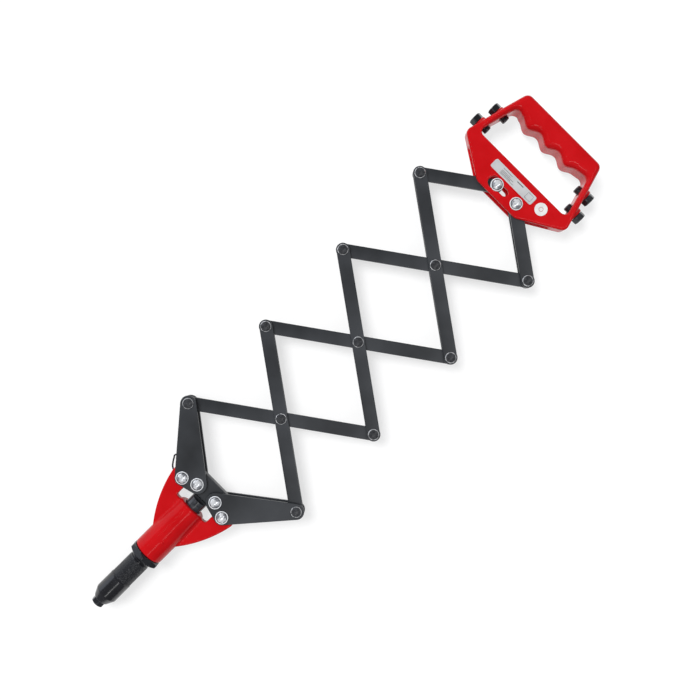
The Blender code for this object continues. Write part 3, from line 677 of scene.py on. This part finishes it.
def pin_mesh(name, low_seat, high_seat, shank, flange_radius, head):
    """Pin with a head at both ends; the flanges, the crowns and the narrow ring at each crown's foot have their
    own materials, and on the pins that ring is a painted shadow line.
    """
    lower = pin_end(flange_radius, head, low_seat, -1)[::-1]
    upper = pin_end(flange_radius, head, high_seat, 1)
    rings = lower + [(low_seat, shank), (high_seat, shank)] + upper
    crown = len(head(0.0)) - 1
    # Band 2 is the narrow ring at each crown's foot; on the pins it takes the dark crown material as a painted
    # shadow line.
    bands = [1] * (crown - 1) + [2] + [0] * (len(rings) - 1 - 2 * crown) + [2] + [1] * (crown - 1)
    return mesh_of(name, lofted(rings, 48, bands))


def make_pins(looks):
    chance = random.Random(11)
    for node in sorted(frame["nodes"]):
        black = "rivet" in node
        if not black and not node.endswith("_pin"):
            continue
        low, high = low_high(node)
        centre = (low + high) / 2
        tall = FLANGE_HEIGHT + (RIVET_CROWN_HEIGHT if black else PIN_CROWN_HEIGHT)
        low_seat, high_seat = low.z - HOME.z + tall, high.z - HOME.z - tall
        shank = OPEN_RIVET_SHANK if node == "right_lever_end_rivet" else PIN_SHANK
        if black:
            mesh = pin_mesh(node, low_seat, high_seat, shank, RIVET_FLANGE, rivet_crown)
            materials = [looks["flange"], looks["crown"], looks["crown"]]
        else:
            mesh = pin_mesh(node, low_seat, high_seat, shank, PIN_FLANGE, pin_crown)
            # The dark crown material on each crown's foot ring is a painted shadow line.
            materials = [looks["zinc"], looks["dome"], looks["crown"]]
        add(f"fitted_{node}", mesh, [node], BODY_OF[node], materials,
            (centre.x, centre.y, HOME.z), (0, 0, chance.uniform(0, math.tau)))


# ---------------------------------------------------------------- nose

def nosepiece_mesh(name, bore, turn_by=0.0):
    """Hexagonal head below zero and threaded stub above it, along +Z."""
    chamfer, groove, tip = 0.9, 0.9, 1.0
    face = HEAD_FLATS / 2 - 0.3
    corner = HEAD_FLATS / math.sqrt(3)
    rings = [(-HEAD_LENGTH, bore + 0.35), (-HEAD_LENGTH, face - 0.5)]
    for i in range(6):
        limit = face - 0.5 + (corner - face + 0.6) * i / 5
        flat = hexagon(HEAD_FLATS)
        rings.append((-HEAD_LENGTH + 0.02 + chamfer * i / 5, lambda a, limit=limit: min(limit, flat(a))))
    rings += [(-0.3, hexagon(HEAD_FLATS)), (0, hexagon(HEAD_FLATS - 0.5)), (0, THREAD_RADIUS - 0.5),
              (groove, THREAD_RADIUS - 0.5)]
    rings += threaded(groove + 0.1, THREAD_LENGTH - tip, THREAD_RADIUS, THREAD_PITCH, 0.55)
    rings += [(THREAD_LENGTH, THREAD_RADIUS - tip), (THREAD_LENGTH, bore + 0.1),
              (THREAD_LENGTH - 0.2, bore), (-HEAD_LENGTH + 0.35, bore)]
    return mesh_of(name, lofted(rings, 60, bored=True), Matrix.Rotation(turn_by, 4, "Z"))


def make_nose(looks):
    front_wall, fit = 12.5, THREAD_RADIUS + THREAD_PLAY
    nut_low, nut_high = low_high("lock_nut")
    thread_to = nut_high.x - HOME.x + 2.0
    rings = [(CONE_FRONT, fit), (CONE_FRONT, 7.9), (CONE_FRONT + 0.4, 8.3), (CONE_REAR - 0.5, 11.75),
             (CONE_REAR, 11.97), (CONE_REAR + 0.7, BARREL_RADIUS), (KNURL_FRONT - 0.5, BARREL_RADIUS),
             (KNURL_FRONT - 0.1, BARREL_RADIUS - 0.4), (KNURL_FRONT + 0.5, KNURL_RADIUS - 0.35)]
    rings += knurled(KNURL_FRONT + 0.8, NECK_FRONT - 1.6, KNURL_RADIUS)
    rings += [(NECK_FRONT - 1.2, KNURL_RADIUS - 0.2), (NECK_FRONT - 0.4, KNURL_RADIUS - 0.6),
              (NECK_FRONT, NECK_RADIUS - 0.5)]
    rings += threaded(NECK_FRONT + 0.2, thread_to, NECK_RADIUS, 1.5, 0.6)
    rings += [(NECK_REAR, NECK_RADIUS), (NECK_REAR, BARREL_BORE), (CONE_FRONT + front_wall, BARREL_BORE),
              (CONE_FRONT + front_wall, fit)]
    add("nose_sleeve", mesh_of("nose_sleeve", lofted(rings, 288, bored=True), ALONG_X), ["nose_barrel"],
        "housing", [looks["nose"]], HOME)
    fitted = nosepiece_mesh("nosepiece_in_use", NOSEPIECE_BORES["nosepiece_fitted"], math.radians(11))
    add("nosepiece_in_use", fitted, ["nosepiece_fitted"], "housing", [looks["nose"]],
        (HOME.x + NOSE_TIP + HEAD_LENGTH, 0, HOME.z), (0, math.pi / 2, 0))
    add("nut", nut_mesh("nut", nut_low.x - HOME.x, nut_high.x - HOME.x), ["lock_nut"], "housing",
        [looks["nose"]], HOME)


def nut_mesh(name, front, rear):
    """Hexagon nut along X with turned chamfers at both faces."""
    chamfer, rows, bore = 2.0, 8, NECK_RADIUS + THREAD_PLAY
    flat, corner = hexagon(NUT_FLATS, 0.998), NUT_FLATS / math.sqrt(3)
    face = NUT_FLATS / 2 - 0.3

    def limited(limit):
        return lambda a: min(limit, flat(a))
    slopes = [(chamfer * i / rows, limited(face + (corner - face) * i / rows)) for i in range(rows + 1)]
    rings = [(front, bore + 0.5), (front, face - 0.3)]
    rings += [(front + 0.02 + depth, radius) for depth, radius in slopes]
    rings += [(rear - 0.02 - depth, radius) for depth, radius in slopes[::-1]]
    rings += [(rear, face - 0.3), (rear, bore + 0.5), (rear - 0.5, bore), (front + 0.5, bore)]
    return mesh_of(name, lofted(rings, 144, bored=True), ALONG_X @ Matrix.Rotation(NUT_TURN, 4, "Z"))


# ---------------------------------------------------------------- housing, draw bar and yoke

def wing_outline(side):
    """Half of the housing's fork: a lobe over the lever pivot, then one long arc down to the tube."""
    pivot = joint_at("lever_fold") - HOME
    start = -math.degrees(math.asin((pivot.y - WING_INNER_Y) / WING_TIP_RADIUS))
    lobe = arc(pivot.x, pivot.y, WING_TIP_RADIUS, start, WING_TIP_END, 48)
    reach, heading = WING_EDGE_RADIUS - WING_TIP_RADIUS, math.radians(WING_TIP_END)
    edge_x, edge_y = pivot.x - reach * math.cos(heading), pivot.y - reach * math.sin(heading)
    root_y, foot_y = 10.5, 14.5
    edge_end = 180 - math.degrees(math.asin((foot_y - edge_y) / WING_EDGE_RADIUS))
    edge = arc(edge_x, edge_y, WING_EDGE_RADIUS, WING_TIP_END, edge_end, 60)
    fillet, end = 2.5, TUBE_REAR - 2
    corner = arc(end + fillet, WING_INNER_Y - fillet, fillet, 180, 90, 8)
    points = lobe + edge[1:] + [(edge[-1][0], root_y), (end, root_y)] + corner
    return [(x, side * y) for x, y in points]


def along_x(bm):
    bmesh.ops.transform(bm, matrix=ALONG_X, verts=bm.verts[:])
    return bm


def make_housing(looks):
    pivot = joint_at("lever_fold") - HOME
    rear = TUBE_RADIUS - TUBE_TAPER
    profile = [(TUBE_FRONT, FRONT_BORE), (TUBE_FRONT, TUBE_RADIUS - 1.2),
               (TUBE_FRONT + 0.35, TUBE_RADIUS - 0.35), (TUBE_FRONT + 1.2, TUBE_RADIUS),
               (TAPER_FROM, TUBE_RADIUS), (TUBE_REAR - 4, rear),
               (TUBE_REAR - 1.3, rear - 0.15), (TUBE_REAR - 0.4, rear - 0.8), (TUBE_REAR, rear - 1.8),
               (TUBE_REAR, TUBE_BORE), (TUBE_STEP, TUBE_BORE), (TUBE_STEP, FRONT_BORE)]
    tube = along_x(lofted(profile, 96, bored=True))
    steps = []
    for side in (1, -1):
        steps.append(("UNION", prism(wing_outline(side), -PLATE_HIGH, PLATE_HIGH, edge=1.3, segments=4)))
    for side in (1, -1):
        hole = circle(pivot.x, side * pivot.y, PIN_HOLE)
        steps.append(("DIFFERENCE", prism(hole, -CHEEK_HIGH, CHEEK_HIGH)))
    outlines = [wing_outline(side) for side in (1, -1)]
    fillet, margin = 3.5, 0.3
    nub_x, nub_y, nub_radius, nub_height = -169.0, -4.0, 1.5, 0.9
    rise = PLATE_HIGH + fillet

    def shape(points):
        """Blends the tube into the wings, and leaves the small mark of the casting's gate."""
        x, y, z = points[:, 0], np.abs(points[:, 1]), points[:, 2]
        radius = TUBE_RADIUS - ramp(x, TAPER_FROM, TUBE_REAR - 4, 0, TUBE_TAPER)
        centre_y = np.sqrt((radius + fillet) ** 2 - rise ** 2)
        foot = np.clip(centre_y - y, 0, fillet * 0.999)
        floor = rise - np.sqrt(fillet ** 2 - foot ** 2)
        depth = np.maximum(*(edge_distance(outline, points) for outline in outlines))
        blend = (y > centre_y * radius / (radius + fillet)) & (y < centre_y)
        blend &= (np.abs(z) > PLATE_HIGH - margin) & (depth > margin)
        points[:, 2] = np.where(blend, np.sign(z) * np.maximum(np.abs(z), floor), z)
        away = np.hypot(x - nub_x, points[:, 1] - nub_y) / nub_radius
        points[:, 2] += np.where((z > TUBE_RADIUS / 2) & (away < 1), nub_height * (1 - away ** 2), 0)
        return points
    mesh = cast("housing_casting", tube, steps, voxel=0.45, smoothing=12, shape=shape)
    body = add("housing_casting", mesh, ["housing"], "housing", [looks["red"]], HOME,
               sharp=CAST_SHARP)
    body.visible_diffuse = False


def cut_away(obj, solids):
    """Cuts solids, made in the object's own frame, out of an object that stands at the tool's zero."""
    cutters = []
    for solid in solids:
        cutter = bpy.data.objects.new("cutter", mesh_of("cutter", solid))
        cutter.location = HOME * MM
        bpy.context.scene.collection.objects.link(cutter)
        cut = obj.modifiers.new("cut", "BOOLEAN")
        cut.operation, cut.solver, cut.object = "DIFFERENCE", "EXACT", cutter
        cutters.append(cutter)
    bpy.context.view_layer.update()
    obj_shape = obj.evaluated_get(bpy.context.evaluated_depsgraph_get())
    shaped = bpy.data.meshes.new_from_object(obj_shape)
    obj.modifiers.clear()
    obj.data = shaped
    for cutter in cutters:
        bpy.data.objects.remove(cutter, do_unlink=True)


def make_draw_bar(looks):
    """Turned bar with a threaded stud, flattened where it meets the yoke."""
    shoulder, rear, flats_from, stud, stud_end = -168.0, -113.8, -116.8, 4.0, -97.0
    radius, stem, stem_front, bore, bore_end, on_axis = 9.0, 6.15, -211.0, 2.3, -185.0, 0.05
    rings = [(stem_front, bore), (stem_front, stem - 0.4), (stem_front + 0.4, stem), (shoulder - 2, stem),
             (shoulder, radius - 0.3), (shoulder + 0.4, radius), (rear - 0.8, radius), (rear, radius - 0.8),
             (rear, stud - 0.4)]
    rings += threaded(rear + 0.2, stud_end - 0.8, stud, 1.25, 0.5)
    rings += [(stud_end, stud - 0.8), (stud_end, on_axis), (bore_end, on_axis), (bore_end, bore)]
    mesh = mesh_of("pull_bar", lofted(rings, 72, bored=True), ALONG_X)
    bar = add("pull_bar", mesh, ["draw_bar"], "draw_bar", [looks["nose"]], HOME)
    half = radius + 1
    flats = [(flats_from, -half), (rear + 0.1, -half), (rear + 0.1, half), (flats_from, half)]
    cut_away(bar, [prism(flats, PLATE_HIGH, half), prism(flats, -half, -PLATE_HIGH)])


def make_yoke(looks):
    """Cross-plate with a slotted hole for each lever's inner pin."""
    front, rear, half = -113.5, -92.0, 19.5
    pivot = joint_at("lever_fold") - HOME
    slot_x, slot_half, inner, outer = pivot.x + 5.9, 3.5, 11.3, 14.5
    outline = rounded([(front, -half, 4), (rear, -half, 3), (rear, half, 3), (front, half, 4)])
    slots = []
    for side in (1, -1):
        slot = arc(slot_x, outer, slot_half, 0, 180, 24) + arc(slot_x, inner, slot_half, 180, 360, 24)
        slots.append([(x, side * y) for x, y in slot])
    plate = prism(outline, -PLATE_HIGH, PLATE_HIGH, slots, edge=1.3)
    add("cross_plate", mesh_of("cross_plate", plate), ["yoke"], "draw_bar",
        [looks["bar"]], HOME)


# ---------------------------------------------------------------- handle

def at_store(solid, x, seat, side):
    """Turns a solid made about Z so that it stands on the handle's side, at a nosepiece store."""
    place = Matrix.Translation((x, seat, 0)) @ Matrix.Rotation(side * math.pi / 2, 4, "X")
    bmesh.ops.transform(solid, matrix=place, verts=solid.verts[:])
    return solid


def handle_outlines():
    """Outer edge of the handle and the edge of its opening."""
    outer = rounded([(-10.8, -9.3, 10), (16.3, -54.9, 7), (GRIP_OUTER, -33.7, 7),
                     (GRIP_OUTER, 68.9, 7), (17.1, 88.0, 7), (-10.8, 44.2, 10)])
    corners = [(67.6, -32.9, 7), (25.9, -44.9, 5), (25.6, 78.3, 5), (67.6, 66.3, 7)]
    return outer, rounded(corners) + finger_edge()


def handle_steps():
    """Bosses, the arms' room between the cheeks, the pin's hole, the keyhole and the stores' bores."""
    beyond, boss_radius, boss_reach, store_depth, room_end = CHEEK_HIGH + 3, 7.2, 6.0, 18.0, 8.8
    steps = []
    for store in NOSEPIECE_STORES:
        boss = lofted([(0.01, boss_radius - 1), (0.3, boss_radius - 0.3), (1, boss_radius),
                       (boss_reach, boss_radius)])
        steps.append(("UNION", at_store(boss, *store)))
    room = [(-30, -80), (room_end, -80), (room_end, 110), (-30, 110)]
    steps.append(("DIFFERENCE", prism(room, -CHEEK_LOW, CHEEK_LOW)))
    steps.append(("DIFFERENCE", prism(circle(0, 0, PIN_HOLE), -beyond, beyond)))
    neck = math.degrees(math.asin(SLOT_HALF_WIDTH / SLOT_END_RADIUS))
    keyhole = arc(0, SLOT_FAR, SLOT_END_RADIUS, -90 + neck, 270 - neck, 40)
    keyhole += arc(0, SLOT_NEAR, SLOT_HALF_WIDTH, 180, 360, 24)
    steps.append(("DIFFERENCE", prism(keyhole, -beyond, beyond)))
    bore_radius = THREAD_RADIUS + THREAD_PLAY
    for store in NOSEPIECE_STORES:
        bore = lofted([(-1, bore_radius), (store_depth, bore_radius)], 32)
        steps.append(("DIFFERENCE", at_store(bore, *store)))
    return steps


def make_handle(looks):
    outer, opening = handle_outlines()
    frame_plate = prism(outer, -GRIP_HALF_HEIGHT, GRIP_HALF_HEIGHT, [opening])

    def shape(points):
        """Thins the cheeks, lets the arms rise to the grip and rounds both outlines' edges."""
        x, z = points[:, 0], points[:, 2]
        height = ramp(x, 16, 64, CHEEK_HIGH, GRIP_HALF_HEIGHT)
        from_outer = edge_distance(outer, points)
        outside = quarter_round(from_outer, ramp(x, 10, 62, 1.6, 5.0))
        inside = quarter_round(-edge_distance(opening, points), ramp(x, 22, 58, 1.6, 6.4))
        limit = height - np.maximum(outside, inside)
        on_boss = from_outer < -0.3
        points[:, 2] = np.where(on_boss, z, np.clip(z, -limit, limit))
        return points
    mesh = cast("handle_casting", frame_plate, handle_steps(), voxel=0.55, smoothing=14, shape=shape)
    grip = add("handle_casting", mesh, ["handle"], "handle", [looks["red"]], GRIP_HOME,
               sharp=CAST_SHARP)
    grip.visible_diffuse = False
    seat_gap = 0.25
    for index, (x, seat, side) in enumerate(NOSEPIECE_STORES, start=1):
        node = f"nosepiece_spare_{index}"
        name = f"stored_nosepiece_{index}"
        add(name, nosepiece_mesh(name, NOSEPIECE_BORES[node]), [node], "handle",
            [looks["nose"]], GRIP_HOME + Vector((x, seat + side * seat_gap, 0)), (side * math.pi / 2, 0, 0))


def joined(bodies):
    """Puts several (solid, material index) bodies into one."""
    whole = bmesh.new()
    for bm, index in bodies:
        for face in bm.faces:
            face.material_index = index
        mesh = bpy.data.meshes.new("part")
        bm.to_mesh(mesh)
        bm.free()
        whole.from_mesh(mesh)
        bpy.data.meshes.remove(mesh)
    return whole


def make_label(looks):
    """Foil label with plain printed bars, and no lettering."""
    low, high = low_high("label_plate")
    middle = (low + high) / 2
    width, length, thick = high.x - low.x, high.y - low.y, high.z - low.z
    base, top = -thick / 2, thick / 2 - 0.06
    plate = rounded(box_corners(-width / 2, -length / 2, width / 2, length / 2, 2))
    bodies = [(prism(plate, base, top, edge=0.1), 0)]
    print_low, print_high = top - 0.03, top + 0.05
    # Printed lines: x, start and end along y, half the line's width
    rows = ((-3.1, -2.0, 16.5, 0.18), (-1.9, 3.0, 16.5, 0.18), (-0.7, 0.0, 16.5, 0.18),
            (0.5, 5.0, 16.5, 0.18), (2.7, -11.0, -2.5, 0.4), (2.7, 4.0, 16.5, 0.18))
    for x, start, end, half in rows:
        bar = [(x - half, start), (x + half, start), (x + half, end), (x - half, end)]
        bodies.append((prism(bar, print_low, print_high), 1))
    block = rounded(box_corners(-3.3, -25.5, 3.3, -18.0, 0.8))
    inner = rounded(box_corners(-3.05, -25.25, 3.05, -18.25, 0.6))
    bodies.append((prism(block, print_low, print_high, [inner]), 1))
    add("label", mesh_of("label", joined(bodies)), ["label_plate"], "handle",
        [looks["foil"], looks["ink"]], middle)


def make_badge(looks):
    """White disc with a plain printed ring."""
    low, high = low_high("round_badge")
    middle = (low + high) / 2
    radius, half = (high.x - low.x) / 2, (high.z - low.z) / 2
    disc = prism(circle(0, 0, radius, 72), -half, half - 0.06, edge=0.1)
    ring_outer, ring_inner = circle(0, 0, radius * 0.36, 64), circle(0, 0, radius * 0.28, 64)
    ring = prism(ring_outer, half - 0.09, half - 0.01, [ring_inner])
    add("badge", mesh_of("badge", joined([(disc, 0), (ring, 1)])), ["round_badge"], "handle",
        [looks["white"], looks["print"]], middle)


# ---------------------------------------------------------------- wire catch and hidden parts

def make_catch(looks):
    """Wire with an eye round the left pivot pin and a bent tip."""
    wire, eye, turns = 0.9, 4.7, 10
    pivot = joint_at("wire_catch_swing")
    height = centre_of("wire_catch").z
    arm = [(-4.2, 6.5), (-4.8, 10.5), (-3.2, 15.3), (0.4, 18.6), (4.2, 21.0), (7.2, 22.4), (8.6, 21.0),
           (7.4, 19.0), (4.2, 17.0)]
    curve = bpy.data.curves.new("bent_wire", "CURVE")
    curve.dimensions = "3D"
    curve.bevel_depth = wire * MM
    curve.bevel_resolution = 4
    curve.use_fill_caps = True
    spline = curve.splines.new("BEZIER")
    points = arc(0, 0, eye, -150, 170, turns) + arm
    spline.bezier_points.add(len(points) - 1)
    for point, (x, y) in zip(spline.bezier_points, points):
        point.co = (x * MM, y * MM, 0)
        point.handle_left_type = point.handle_right_type = "AUTO"
    curve.materials.append(looks["nose"])
    catch = bpy.data.objects.new("bent_wire", curve)
    catch.location = Vector((pivot.x, pivot.y, height)) * MM
    bpy.context.scene.collection.objects.link(catch)
    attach(catch, "wire_catch")
    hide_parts("wire_catch")


def finish_cad_nodes(looks):
    """Materials of the CAD nodes that stay: the inner parts and the spacers."""
    for name, node in frame["nodes"].items():
        look = looks["zinc"] if "spacer" in name else looks["steel"]
        for slot in node.material_slots:
            if not node.hide_render:
                slot.material = look


def main():
    make_camera()
    make_floor()
    make_light()
    looks = make_materials()
    make_bars(looks)
    make_lever_plates(looks)
    make_pins(looks)
    make_nose(looks)
    make_housing(looks)
    make_draw_bar(looks)
    make_yoke(looks)
    make_handle(looks)
    make_label(looks)
    make_badge(looks)
    make_catch(looks)
    finish_cad_nodes(looks)


main()
